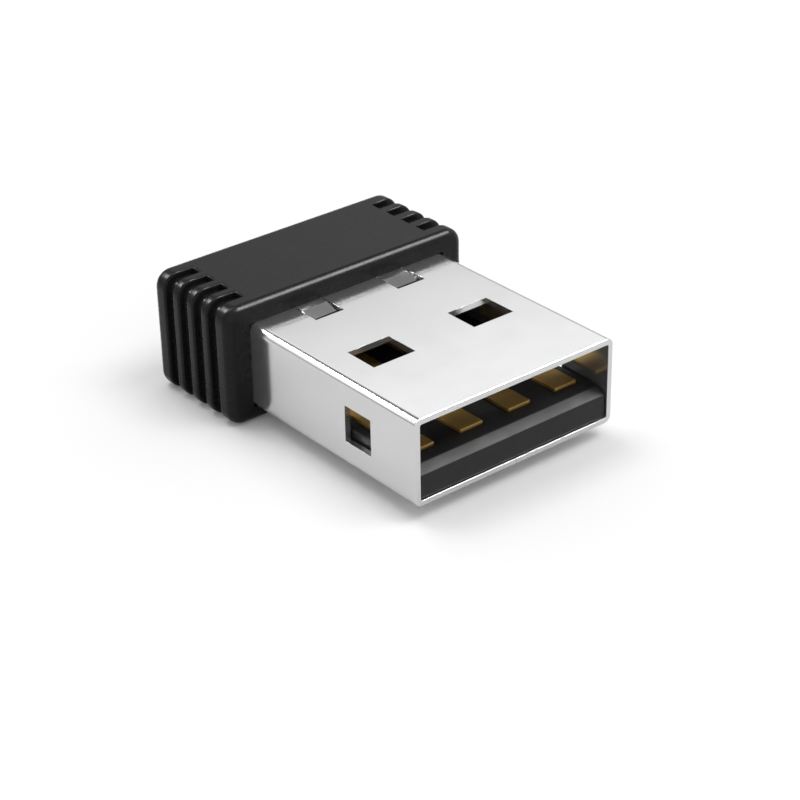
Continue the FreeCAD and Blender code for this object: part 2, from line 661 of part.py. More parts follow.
def gull_wing(sketch, sign, width, height, reach, foot):
    """Side view of one bent lead, on the sign's side of a package, foot down on its pad."""
    half = "Sizes.lead_thickness / 2"
    side = f"{width} / 2"
    toe = f"({side} + {reach})"
    heel = f"({toe} - {foot})"
    knee = f"({side} + ({reach} - {foot}) / 2)"
    exit_level = f"({CONTACT_BOTTOM} + Sizes.chip_standoff + {height} / 2)"
    draw_polygon(sketch, [
        (f"{sign}({x})", z) for x, z in (
            (side, f"{exit_level} - {half}"), (f"{knee} - {half}", f"{exit_level} - {half}"),
            (f"{heel} - {half}", CONTACT_BOTTOM), (toe, CONTACT_BOTTOM),
            (toe, f"{CONTACT_BOTTOM} + 2 * {half}"),
            (f"{heel} + {half}", f"{CONTACT_BOTTOM} + 2 * {half}"),
            (f"{knee} + {half}", f"{exit_level} + {half}"), (side, f"{exit_level} + {half}"))])


def make_controller_leads():
    """Two rows of bent leads, one solid each."""
    body = new_body("controller_leads", several=True)
    wings = new_sketch(body, "controller_wings", "XZ_Plane", FIRST_LEAD, across=CHIP_PLACE)
    for sign in ("-", ""):
        gull_wing(wings, sign, "Sizes.chip_width", "Sizes.chip_height", "Sizes.lead_reach",
                  "Sizes.lead_foot")
    first = pad(body, wings, "Sizes.lead_width", both_ways=True)
    row_of(body, first, "Y_Axis", "Sizes.lead_pitch", "Sizes.lead_count")
    return body


def make_regulator_leads():
    """Two bent leads towards the chip and one on the far side, one solid each."""
    body = new_body("regulator_leads", several=True)
    size = ("Sizes.regulator_width", "Sizes.regulator_height", "Sizes.regulator_reach",
            "Sizes.regulator_foot")
    pair = new_sketch(body, "regulator_pair", "XZ_Plane",
                      f"{CHIP_MIDDLE} - Sizes.regulator_lead_pitch / 2", across=REGULATOR_PLACE)
    gull_wing(pair, "-", *size)
    first = pad(body, pair, "Sizes.regulator_lead_width", both_ways=True)
    row_of(body, first, "Y_Axis", "Sizes.regulator_lead_pitch", "2")
    single = new_sketch(body, "regulator_single", "XZ_Plane", CHIP_MIDDLE, across=REGULATOR_PLACE)
    gull_wing(single, "", *size)
    pad(body, single, "Sizes.regulator_lead_width", both_ways=True)
    return body


def make_crystal_base():
    """Flat ceramic base of the clock crystal."""
    body = new_body("crystal_base")
    outline = new_sketch(body, "crystal_outline", "XY_Plane", CONTACT_BOTTOM,
                         across=CRYSTAL_PLACE, up=CHIP_MIDDLE)
    side = "Sizes.crystal_width / 2"
    end = "Sizes.crystal_length / 2"
    draw_box(outline, f"-{side}", f"-{end}", side, end, "Sizes.crystal_lid_margin")
    pad(body, outline, "Sizes.crystal_base_height")
    return body


def make_crystal_lid():
    """Metal lid welded on the crystal's base."""
    body = new_body("crystal_lid")
    outline = new_sketch(body, "crystal_lid_outline", "XY_Plane",
                         f"{CONTACT_BOTTOM} + Sizes.crystal_base_height",
                         across=CRYSTAL_PLACE, up=CHIP_MIDDLE)
    side = "(Sizes.crystal_width / 2 - Sizes.crystal_lid_margin)"
    end = "(Sizes.crystal_length / 2 - Sizes.crystal_lid_margin)"
    draw_box(outline, f"-{side}", f"-{end}", side, end, "Sizes.crystal_lid_radius")
    pad(body, outline, "Sizes.crystal_lid_height")
    return body


def make_passive_bodies(label, line, height):
    """Row of three small parts under the board, without their metal ends."""
    body = new_body(label, several=True)
    middle = new_sketch(body, f"{label}_outline", "XY_Plane", UNDER_PADS,
                        across=FIRST_PASSIVE, up=line)
    end = "(Sizes.passive_length / 2 - Sizes.passive_terminal)"
    side = "(Sizes.passive_width / 2 - Sizes.passive_inset)"
    draw_box(middle, f"-{end}", f"-{side}", end, side)
    first = pad(body, middle, f"{height} - Sizes.passive_inset", backwards=True)
    row_of(body, first, "X_Axis", "Sizes.passive_pitch", "Sizes.passive_count")
    return body


def make_passive_terminals(label, line, height):
    """Metal ends of a row of small parts, one solid each."""
    body = new_body(label, several=True)
    ends = new_sketch(body, f"{label}_outline", "XY_Plane", UNDER_PADS,
                      across=FIRST_PASSIVE, up=line)
    draw_terminals(ends)
    first = pad(body, ends, height, backwards=True)
    row_of(body, first, "X_Axis", "Sizes.passive_pitch", "Sizes.passive_count")
    return body


def make_contact_solder():
    """Sloped solder fillets at the ends of the contact tails, one solid each."""
    body = new_body("contact_solder", several=True)
    slope = new_sketch(body, "solder_slope", "YZ_Plane", FIRST_CONTACT)
    draw_polygon(slope, [
        (TAIL_END, CONTACT_BOTTOM), (f"{TAIL_END} + Sizes.solder_length", CONTACT_BOTTOM),
        (f"{TAIL_END} + Sizes.solder_length * Sizes.solder_waist",
         f"{CONTACT_BOTTOM} + Sizes.solder_height * Sizes.solder_waist"),
        (TAIL_END, f"{CONTACT_BOTTOM} + Sizes.solder_height")])
    first = pad(body, slope, "Sizes.contact_tail_width", both_ways=True)
    row_of(body, first, "X_Axis", "Sizes.contact_pitch", "Sizes.contact_count")
    return body


def make_shell_solder():
    """Solder fillets that join the board's side edges to the inside of the shell."""
    body = new_body("shell_solder", several=True)
    fillet = new_sketch(body, "shell_fillet", "XZ_Plane", f"{BOARD_FRONT} + Sizes.pad_margin")
    leg = "Sizes.shell_solder_leg"
    waist = f"{leg} * Sizes.solder_waist"
    for sign in ("-", ""):
        draw_polygon(fillet, [
            (f"{sign}({INNER_SIDE})", BOARD_TOP), (f"{sign}({INNER_SIDE} - {leg})", BOARD_TOP),
            (f"{sign}({INNER_SIDE} - {waist})", f"{BOARD_TOP} + {waist}"),
            (f"{sign}({INNER_SIDE})", f"{BOARD_TOP} + {leg}")])
    pad(body, fillet, "Sizes.shell_solder_length", backwards=True)
    return body


PIECES = [
    make_cap(),
    make_plug_shell(),
    make_tongue(),
    make_contact("contact_power", 0),
    make_contact("contact_data_minus", 1),
    make_contact("contact_data_plus", 2),
    make_contact("contact_ground", 3),
    make_circuit_board(),
    make_board_pads(),
    make_chip_body("controller_chip", CHIP_PLACE, "Sizes.chip_width", "Sizes.chip_length",
                   "Sizes.chip_height"),
    make_controller_leads(),
    make_crystal_base(),
    make_crystal_lid(),
    make_chip_body("regulator_body", REGULATOR_PLACE, "Sizes.regulator_width",
                   "Sizes.regulator_length", "Sizes.regulator_height"),
    make_regulator_leads(),
    make_passive_bodies("capacitors", CAPACITOR_ROW, "Sizes.capacitor_height"),
    make_passive_terminals("capacitor_terminals", CAPACITOR_ROW, "Sizes.capacitor_height"),
    make_passive_bodies("resistors", RESISTOR_ROW, "Sizes.resistor_height"),
    make_passive_terminals("resistor_terminals", RESISTOR_ROW, "Sizes.resistor_height"),
    make_contact_solder(),
    make_shell_solder(),
]

doc.recompute()
for item in doc.Objects:
    if "Invalid" in item.State or "Error" in item.State:
        raise RuntimeError(f"{item.Label} did not compute: {item.State}")
for piece in PIECES:
    if piece.Shape.isNull() or not piece.Shape.isValid():
        raise RuntimeError(f"{piece.Label} has no valid shape")

os.makedirs("parts", exist_ok=True)
for piece in PIECES:
    piece.Shape.exportStep(f"parts/{piece.Label}.step")
    print(f"{piece.Label}: {len(piece.Shape.Solids)} solids, {piece.Shape.Volume:.3f} mm3")
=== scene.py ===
"""Mouse jiggler: a short type-A plug with a ribbed cap, lying on a pale table.

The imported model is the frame. The cap, the folded shell, the tongue and the four contacts are
modelled here over their nodes, and the pieces inside the cap keep their nodes and get their
finishes. Shapes are modelled in millimetres and brought to metres when they are finished.
"""

import logging
import math
from contextlib import contextmanager
from dataclasses import dataclass, field
from enum import Enum
from typing import Callable, Iterator

import bmesh
import bpy
from mathutils import Matrix, Vector


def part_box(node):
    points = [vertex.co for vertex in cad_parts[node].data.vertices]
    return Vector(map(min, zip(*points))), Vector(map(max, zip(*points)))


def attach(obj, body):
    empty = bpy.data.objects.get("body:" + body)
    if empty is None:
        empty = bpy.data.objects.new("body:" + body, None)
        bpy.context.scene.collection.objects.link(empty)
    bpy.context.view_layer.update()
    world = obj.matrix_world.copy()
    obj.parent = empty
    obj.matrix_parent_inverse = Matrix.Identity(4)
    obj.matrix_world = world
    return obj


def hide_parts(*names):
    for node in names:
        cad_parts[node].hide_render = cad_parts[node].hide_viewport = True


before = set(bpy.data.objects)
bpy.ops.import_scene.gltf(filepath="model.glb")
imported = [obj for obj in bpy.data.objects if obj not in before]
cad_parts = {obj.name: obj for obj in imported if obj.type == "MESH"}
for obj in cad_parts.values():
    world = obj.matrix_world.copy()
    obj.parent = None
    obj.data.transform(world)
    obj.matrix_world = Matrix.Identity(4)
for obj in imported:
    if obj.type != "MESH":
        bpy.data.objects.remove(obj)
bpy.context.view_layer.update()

LOG = logging.getLogger("mouse_jiggler")
BODY = "root"

MM = 0.001          # one millimetre in metres
TOUCH = 0.0005      # two places closer than this, in millimetres, are one place
FLAT = 0.9          # a face looks along an axis where its normal's share of it is above this
SMOOTH_ANGLE = math.radians(32)     # faces that meet at less than this are shaded as one
CORNER_TURN = math.radians(60)      # a cut's rim turns outwards by more than this
SIDES = (-1.0, 1.0)

Colour = tuple[float, float, float]
Way = tuple[float, float, float]
Span = tuple[float, float]
FaceTest = Callable[[Vector, Vector], bool]
EdgeTest = Callable[[Vector, Vector], bool]
PointTest = Callable[[Vector], bool]
Tree = bpy.types.NodeTree
Socket = bpy.types.NodeSocket
Sockets = bpy.types.NodeOutputs
Value = Socket | float

# The places of a Mix node's two inputs and of its output, whose names repeat
MIX_SOCKETS = {"FLOAT": (2, 3, 0), "RGBA": (6, 7, 2)}


class Axis(Enum):
    """The three axes, by their place in a vector."""

    X = 0
    Y = 1
    Z = 2

    def way(self) -> Vector:
        """Unit vector along the axis."""
        return Vector([1.0 if place == self.value else 0.0 for place in range(3)])


@dataclass(frozen=True)
class Box:
    """A box between two corners, in millimetres."""

    low: Vector
    high: Vector

    @classmethod
    def of_node(cls, node: str) -> "Box":
        """The box of a node of the frame, at rest."""
        low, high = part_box(node)
        return cls(low / MM, high / MM)

    def middle(self) -> Vector:
        """The middle of the box."""
        return (self.low + self.high) / 2


def same(first: float, second: float) -> bool:
    """Whether two places along an axis are one place."""
    return abs(first - second) < TOUCH


class Workpiece:
    """A mesh that is shaped in edit mode, in millimetres, at its final place."""

    def __init__(self, name: str, block: Box) -> None:
        """Starts the piece as a block.

        Args:
            name: The finished piece's name.
            block: The block's corners.
        """
        bpy.ops.object.select_all(action="DESELECT")
        bpy.ops.mesh.primitive_cube_add(
            size=1.0, location=block.middle(), scale=block.high - block.low)
        self.object = bpy.context.object
        self.object.name = name
        self.object.data.name = name
        bpy.ops.object.transform_apply(location=True, rotation=True, scale=True)

    def activate(self) -> None:
        """Makes the piece the only selected object, and the active one."""
        bpy.ops.object.select_all(action="DESELECT")
        self.object.select_set(True)
        bpy.context.view_layer.objects.active = self.object

    @contextmanager
    def selecting(self, kind: str, chosen: Callable[..., bool] | None = None,
                  least: float = -math.inf) -> Iterator[None]:
        """Opens the mesh in edit mode with some or all of it selected.

        Args:
            kind: VERT, EDGE or FACE, the kind that is selected.
            chosen: The test, which is given a point's place, an edge's two ends, or a face's
                centre and normal. Without it, everything is selected.
            least: The least angle that the surface turns outwards by at an edge.

        Yields:
            Nothing, while the mesh is open.
        """
        self.activate()
        bpy.ops.object.mode_set(mode="EDIT")
        bpy.ops.mesh.select_mode(type=kind)
        bpy.ops.mesh.select_all(action="DESELECT" if chosen else "SELECT")
        if chosen:
            self.pick(kind, chosen, least)
        yield
        bpy.ops.object.mode_set(mode="OBJECT")

    def pick(self, kind: str, chosen: Callable[..., bool], least: float) -> None:
        """Selects some parts of the open mesh.

        Args:
            kind: VERT, EDGE or FACE.
            chosen: The test for a part.
            least: The least angle that the surface turns outwards by at an edge.
        """
        mesh = bmesh.from_edit_mesh(self.object.data)
        if kind == "VERT":
            picked = [point for point in mesh.verts if chosen(point.co)]
        elif kind == "EDGE":
            picked = [edge for edge in mesh.edges if edge.calc_face_angle_signed(0.0) > least
                      and chosen(edge.verts[0].co, edge.verts[1].co)]
        else:
            picked = [face for face in mesh.faces
                      if chosen(face.calc_center_median(), face.normal)]
        for part in picked:
            part.select_set(True)

    def cut(self, axis: Axis, *places: float, only: FaceTest | None = None) -> None:
        """Scores lines across some or all faces, at places along an axis."""
        for place in places:
            self.slice(axis.way() * place, axis.way(), only)

    def slice(self, point: Vector, normal: Vector, only: FaceTest | None = None) -> None:
        """Scores one line where the plane through a point meets some or all faces."""
        with self.selecting("FACE", only):
            bpy.ops.mesh.bisect(plane_co=point, plane_no=normal, threshold=TOUCH)

    def remove(self, chosen: FaceTest) -> None:
        """Takes faces away."""
        with self.selecting("FACE", chosen):
            bpy.ops.mesh.delete(type="FACE")

    def extrude(self, chosen: FaceTest, way: Vector) -> None:
        """Draws faces out together along a vector."""
        with self.selecting("FACE", chosen):
            bpy.ops.mesh.extrude_region_move(TRANSFORM_OT_translate={"value": way})

    def sink(self, chosen: FaceTest, depth: float) -> None:
        """Presses faces in along their normals.

        Args:
            chosen: The test for a face, by its centre and normal.
            depth: How far they go in.
        """
        with self.selecting("FACE", chosen):
            bpy.ops.mesh.extrude_region_shrink_fatten(
                TRANSFORM_OT_shrink_fatten={"value": -depth, "use_even_offset": True})

    def shift(self, chosen: PointTest, way: Vector) -> None:
        """Moves points by a vector."""
        with self.selecting("VERT", chosen):
            bpy.ops.transform.translate(value=way)

    def sharpen(self, chosen: EdgeTest) -> None:
        """Marks edges that stay crisp when the piece is smoothed."""
        with self.selecting("EDGE", chosen):
            bpy.ops.mesh.mark_sharp()

    def round_edges(self, chosen: EdgeTest, radius: float, steps: int,
                    least: float = -math.inf) -> None:
        """Rounds edges.

        Args:
            chosen: The test for an edge, by its two ends.
            radius: The rounding's radius.
            steps: The number of faces across it.
            least: The least angle that the surface turns outwards by there.
        """
        with self.selecting("EDGE", chosen, least):
            bpy.ops.mesh.bevel(offset=radius, segments=steps, profile=0.5, affect="EDGES",
                               clamp_overlap=True)

    def modify(self, kind: str, **settings: object) -> None:
        """Adds a modifier and applies it.

        Args:
            kind: The modifier's type.
            settings: The modifier's settings.
        """
        modifier = self.object.modifiers.new(kind.lower(), kind)
        for name, value in settings.items():
            setattr(modifier, name, value)
        self.activate()
        bpy.ops.object.modifier_apply(modifier=modifier.name)

    def thicken(self, wall: float) -> None:
        """Gives an open skin a wall on its inner side."""
        self.modify("SOLIDIFY", thickness=wall, offset=-1.0, use_even_offset=True)

    def carve(self, cutter: "Workpiece") -> None:
        """Takes another piece's volume away, and that piece with it."""
        self.modify("BOOLEAN", operation="DIFFERENCE", solver="EXACT", object=cutter.object)
        bpy.data.objects.remove(cutter.object)

    def finish(self, node: str, slot: str) -> bpy.types.Object:
        """Smooths the piece, brings it to metres and puts it on the frame.

        Args:
            node: The node that the piece stands for.
            slot: The record's material slot; it is not used.

        Returns:
            The finished object.
        """
        with self.selecting("FACE"):
            bpy.ops.mesh.remove_doubles(threshold=TOUCH)
            bpy.ops.mesh.normals_make_consistent(inside=False)
        bpy.ops.object.shade_smooth_by_angle(angle=SMOOTH_ANGLE)
        self.modify("WEIGHTED_NORMAL", keep_sharp=True)
        self.object.scale = (MM, MM, MM)
        bpy.ops.object.transform_apply(location=True, rotation=True, scale=True)
        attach(self.object, BODY)
        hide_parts(node)
        LOG.info("%s: %d faces, for %s", self.object.name, len(self.object.data.polygons), node)
        return self.object


def along_y(first: Vector, last: Vector) -> bool:
    """Whether an edge runs along Y."""
    return same(first.x, last.x) and same(first.z, last.z)


def underside(centre: Vector, normal: Vector) -> bool:
    """Whether a face looks down."""
    return normal.z < -FLAT


@dataclass
class Outline:
    """The rounded rectangle that a prism along Y has for its section, in millimetres."""

    box: Box
    radius: float

    def distance(self, point: Vector) -> float:
        """Measures how far a point stands from the outline.

        Args:
            point: The point.

        Returns:
            The distance, under zero inside.
        """
        middle = self.box.middle()
        across = abs(point.x - middle.x) - (self.box.high.x - middle.x) + self.radius
        up = abs(point.z - middle.z) - (self.box.high.z - middle.z) + self.radius
        outside = math.hypot(max(across, 0.0), max(up, 0.0))
        return outside + min(max(across, up), 0.0) - self.radius

    def holds(self, first: Vector, last: Vector) -> bool:
        """Whether both ends of an edge lie on the outline."""
        return abs(self.distance(first)) < TOUCH and abs(self.distance(last)) < TOUCH


@dataclass
class Cap:
    """The moulded cap: grooves round both ends, and a stepped socket for the plug."""

    corner_radius: float = 0.85
    edge_radius: float = 0.48
    groove_count: int = 4
    groove_width: float = 0.65
    groove_pitch: float = 1.18
    groove_depth: float = 0.32
    groove_reach: float = 1.7
    rib_rounding: float = 0.12
    back_wall: float = 0.9
    rail_width: float = 0.6
    rail_length: float = 1.9
    latch_height: float = 1.0
    latch_length: float = 0.8
    latch_reach: float = 0.28
    latch_setback: float = 1.2
    fit_gap: float = 0.015
    socket_radius: float = 0.12
    margin: float = 1.0
    corner_steps: int = 12
    edge_steps: int = 6
    rib_steps: int = 3
    box: Box = field(default_factory=lambda: Box.of_node("cap"))
    plug: Box = field(default_factory=lambda: Box.of_node("plug_shell"))
    board: Box = field(default_factory=lambda: Box.of_node("circuit_board"))

    def groove_fronts(self) -> list[float]:
        """Spreads the grooves evenly over the cap's depth.

        Returns:
            Where each groove's front wall stands along Y.
        """
        reach = (self.groove_count - 1) * self.groove_pitch + self.groove_width
        first = self.box.middle().y - reach / 2
        return [first + place * self.groove_pitch for place in range(self.groove_count)]

    def in_groove(self, point: Vector) -> bool:
        """Tests whether a point lies within a groove's width, at either end of the cap.

        Args:
            point: The point.

        Returns:
            True within a groove.
        """
        inner_end = self.box.high.x - self.groove_reach
        beside = any(front - TOUCH < point.y < front + self.groove_width + TOUCH
                     for front in self.groove_fronts())
        return beside and abs(point.x) > inner_end - TOUCH

    def build(self, shell: "PlugShell") -> bpy.types.Object:
        """Models the cap.

        Args:
            shell: The folded shell, whose wall the room behind the plug keeps clear of.

        Returns:
            The finished cap.
        """
        low, high = self.box.low, self.box.high
        outline = Outline(self.box, self.corner_radius)
        piece = Workpiece("ribbed_cap", self.box)
        piece.round_edges(along_y, self.corner_radius, self.corner_steps)
        piece.round_edges(lambda a, b: same(a.y, b.y) and (same(a.y, low.y) or same(a.y, high.y)),
                          self.edge_radius, self.edge_steps)
        piece.cut(Axis.X, low.x + self.groove_reach, high.x - self.groove_reach)
        for front in self.groove_fronts():
            piece.cut(Axis.Y, front, front + self.groove_width)
        piece.sink(lambda centre, normal: self.in_groove(centre) and abs(normal.y) < FLAT,
                   self.groove_depth)
        piece.round_edges(lambda a, b: self.in_groove((a + b) / 2) and outline.holds(a, b),
                          self.rib_rounding, self.rib_steps, CORNER_TURN)
        piece.carve(self.socket())
        piece.carve(self.cavity(shell))
        return piece.finish("cap", "cap_plastic")

    def socket(self) -> Workpiece:
        """Models the room that the shell slides into, with dents that leave the latch bumps.

        Returns:
            The room, as a piece to carve with.
        """
        gap = Vector((self.fit_gap, 0.0, self.fit_gap))
        mouth = Vector((self.plug.low.x, self.box.low.y - self.margin, self.plug.low.z))
        room = Box(mouth - gap, self.plug.high + gap)
        cutter = Workpiece("socket", room)
        cutter.round_edges(along_y, self.socket_radius, self.edge_steps)
        front = self.box.low.y + self.latch_setback
        back = front + self.latch_length
        middle = room.middle().z
        cutter.cut(Axis.Y, front, back)
        cutter.cut(Axis.Z, middle - self.latch_height / 2, middle + self.latch_height / 2)
        for side in SIDES:
            cutter.extrude(
                lambda centre, normal: normal.x * side > FLAT and front < centre.y < back
                and abs(centre.z - middle) < self.latch_height / 2,
                Vector((-side * self.latch_reach, 0.0, 0.0)))
        tip = room.high.x - self.latch_reach
        cutter.shift(lambda point: same(abs(point.x), tip) and same(point.y, front),
                     Vector((0.0, self.latch_length - self.latch_reach, 0.0)))
        return cutter

    def cavity(self, shell: "PlugShell") -> Workpiece:
        """Models the room behind the plug, which leaves a rail at each side under the board.

        Args:
            shell: The folded shell, whose inside it carries on.

        Returns:
            The room, as a piece to carve with.
        """
        back = self.box.high.y - self.back_wall
        side = self.plug.high.x - shell.wall
        floor, rail_top = self.plug.low.z + shell.wall, self.board.low.z
        room = Box(Vector((-side, self.box.low.y - self.margin, rail_top)),
                   Vector((side, back, self.plug.high.z - shell.wall)))
        cutter = Workpiece("cavity", room)
        rail_inner, rail_front = side - self.rail_width, back - self.rail_length
        cutter.cut(Axis.X, -rail_inner, rail_inner)
        cutter.cut(Axis.Y, rail_front)
        cutter.extrude(
            lambda centre, normal: normal.z < -FLAT
            and (abs(centre.x) < rail_inner or centre.y < rail_front),
            Vector((0.0, 0.0, floor - rail_top)))
        return cutter


@dataclass
class PlugShell:
    """The folded shell: sheet with windows, two lanced tabs and a keyed seam underneath."""

    wall: float = 0.3
    bend_radius: float = 0.1
    bend_steps: int = 10
    window_width: float = 2.45
    window_length: float = 1.95
    window_start: float = 5.0
    window_offset: float = 3.02
    side_window_height: float = 1.87
    side_window_length: float = 1.87
    side_window_start: float = 3.13
    latch_setback: float = 1.16
    latch_length: float = 0.88
    latch_height: float = 1.08
    tab_width: float = 1.5
    tab_length: float = 1.2
    tab_setback: float = 0.04
    tab_bend: float = 0.45
    tab_offset: float = 2.51
    tab_drop: float = 0.22
    tab_gap: float = 0.09
    tab_clearance: float = 0.48
    seam_gap: float = 0.02
    key_reach: float = 1.3
    key_length: float = 1.2
    key_flare: float = 0.25
    key_start: float = 2.6
    key_pitch: float = 6.0
    mouth_rounding: float = 0.07
    inner_rounding: float = 0.03
    hole_rounding: float = 0.08
    rounding_steps: int = 3
    box: Box = field(default_factory=lambda: Box.of_node("plug_shell"))
    cap: Box = field(default_factory=lambda: Box.of_node("cap"))

    def outer_radius(self) -> float:
        """The radius of the folds' outer side."""
        return self.bend_radius + self.wall

    def from_tab(self, across: float) -> float:
        """How far a place along X is from the nearer tab's middle."""
        return abs(abs(across) - self.tab_offset)

    def key_slant(self) -> float:
        """How much a key widens on each side along its reach."""
        return self.key_flare / self.key_reach

    def key_clearance(self) -> float:
        """The gap beside a key's slanted side, along Y."""
        return self.seam_gap * (self.key_slant() + math.hypot(1.0, self.key_slant()))

    def build(self) -> bpy.types.Object:
        """Models the shell as one skin, gives it a wall and rounds its cut edges.

        Returns:
            The finished shell.
        """
        low, high = self.box.low, self.box.high
        outside = Outline(self.box, self.outer_radius())
        piece = Workpiece("folded_shell", self.box)
        piece.round_edges(along_y, self.outer_radius(), self.bend_steps)
        piece.remove(lambda centre, normal: abs(normal.y) > FLAT)
        self.punch_windows(piece)
        self.lance_tabs(piece)
        self.cut_seam(piece)
        piece.thicken(self.wall)
        piece.round_edges(
            lambda a, b: same(a.y, low.y) and same(b.y, low.y) and outside.holds(a, b),
            self.mouth_rounding, self.rounding_steps)
        piece.round_edges(
            lambda a, b: same(a.y, low.y) and same(b.y, low.y)
            and outside.distance((a + b) / 2) < -self.wall / 2,
            self.inner_rounding, self.rounding_steps, CORNER_TURN)
        piece.round_edges(
            lambda a, b: outside.holds(a, b)
            and low.y + self.wall < min(a.y, b.y) and max(a.y, b.y) < high.y - self.wall,
            self.hole_rounding, self.rounding_steps, CORNER_TURN)
        bend = self.cap.low.y - self.tab_setback - self.tab_bend
        piece.sharpen(lambda a, b: all(same(end.y, bend) and same(end.z, high.z)
                                       for end in (a, b))
                      and self.from_tab((a.x + b.x) / 2) < self.tab_width / 2)
        return piece.finish("plug_shell", "shell_steel")

    def punch_windows(self, piece: Workpiece) -> None:
        """Opens the windows in the top, and the holes in both sides.

        The bottom is scored like the top and stays closed.

        Args:
            piece: The shell's skin.
        """
        middle = self.box.middle()
        front = self.box.low.y + self.window_start
        back = front + self.window_length
        near, far = (self.window_offset + edge * self.window_width / 2 for edge in SIDES)
        piece.cut(Axis.Y, front, back)
        piece.cut(Axis.X, near, far, -near, -far,
                  only=lambda centre, normal: abs(normal.z) > FLAT)
        piece.remove(lambda centre, normal: normal.z > FLAT and front < centre.y < back
                     and near < abs(centre.x) < far)
        side_start = self.box.low.y + self.side_window_start
        latch_start = self.cap.low.y + self.latch_setback
        for start, length, height in (
                (side_start, self.side_window_length, self.side_window_height),
                (latch_start, self.latch_length, self.latch_height)):
            piece.cut(Axis.Y, start, start + length)
            piece.cut(Axis.Z, middle.z - height / 2, middle.z + height / 2,
                      only=lambda centre, normal: abs(normal.x) > FLAT
                      and start < centre.y < start + length)
            piece.remove(lambda centre, normal: abs(normal.x) > FLAT
                         and start < centre.y < start + length
                         and abs(centre.z - middle.z) < height / 2)

    def lance_tabs(self, piece: Workpiece) -> None:
        """Cuts a tab free on three sides at each side of the top, and bends its tip down.

        Args:
            piece: The shell's skin.
        """
        root = self.cap.low.y - self.tab_setback
        bend, tip = root - self.tab_bend, root - self.tab_length
        end = tip - self.tab_clearance
        half, notch = self.tab_width / 2, self.tab_width / 2 + self.tab_gap
        piece.cut(Axis.Y, end, tip, bend, root)
        lines = [side * self.tab_offset + edge
                 for side in SIDES for edge in (-notch, -half, half, notch)]
        piece.cut(Axis.X, *lines, only=lambda centre, normal: normal.z > FLAT
                  and end < centre.y < root)
        piece.remove(lambda centre, normal: normal.z > FLAT and end < centre.y < root
                     and self.from_tab(centre.x) < notch
                     and not (centre.y > tip and self.from_tab(centre.x) < half))
        piece.shift(lambda point: same(point.y, tip) and same(point.z, self.box.high.z)
                    and self.from_tab(point.x) < half + TOUCH,
                    Vector((0.0, 0.0, -self.tab_drop)))

    def cut_seam(self, piece: Workpiece) -> None:
        """Parts the bottom along the line where the sheet's two edges meet, round each key.

        Args:
            piece: The shell's skin.
        """
        half, slant, clearance = self.seam_gap / 2, self.key_slant(), self.key_clearance()
        piece.cut(Axis.X, -half, half, only=underside)
        zones = []
        for shift in (0.0, self.key_pitch):
            start = self.box.low.y + self.key_start + shift
            end = start + self.key_length
            front = start - self.key_flare - clearance
            back = end + self.key_flare + clearance
            zones.append((front, back))
            piece.cut(Axis.Y, front, back, only=underside)

            def in_zone(centre: Vector, normal: Vector) -> bool:
                """Whether a face of the bottom lies round this key."""
                return (normal.z < -FLAT and front < centre.y < back
                        and -half < centre.x < self.key_reach + half)

            piece.cut(Axis.X, self.key_reach - half, self.key_reach + half,
                      only=lambda centre, normal: normal.z < -FLAT and front < centre.y < back)
            for edge_x, edge_y, lean in ((-half, start, slant), (half, start - clearance, slant),
                                         (-half, end, -slant), (half, end + clearance, -slant)):
                piece.slice(Vector((edge_x, edge_y, self.box.low.z)),
                            Vector((lean, 1.0, 0.0)).normalized(), only=in_zone)
            piece.remove(lambda centre, normal: in_zone(centre, normal)
                         and self.in_gap(centre.x, max(start - centre.y, centre.y - end)))
        piece.remove(lambda centre, normal: normal.z < -FLAT and abs(centre.x) < half
                     and not any(front < centre.y < back for front, back in zones))

    def in_gap(self, across: float, beside: float) -> bool:
        """Tests whether a place near a key lies in the gap between the key and its socket.

        Args:
            across: The place, along X.
            beside: How far it is past the nearer end of the key's neck, along Y.

        Returns:
            True in the gap.
        """
        half, slant = self.seam_gap / 2, self.key_slant()
        in_key = across < self.key_reach - half and beside < (across + half) * slant
        in_socket = across < half or beside < self.key_clearance() + (across - half) * slant
        return in_socket and not in_key


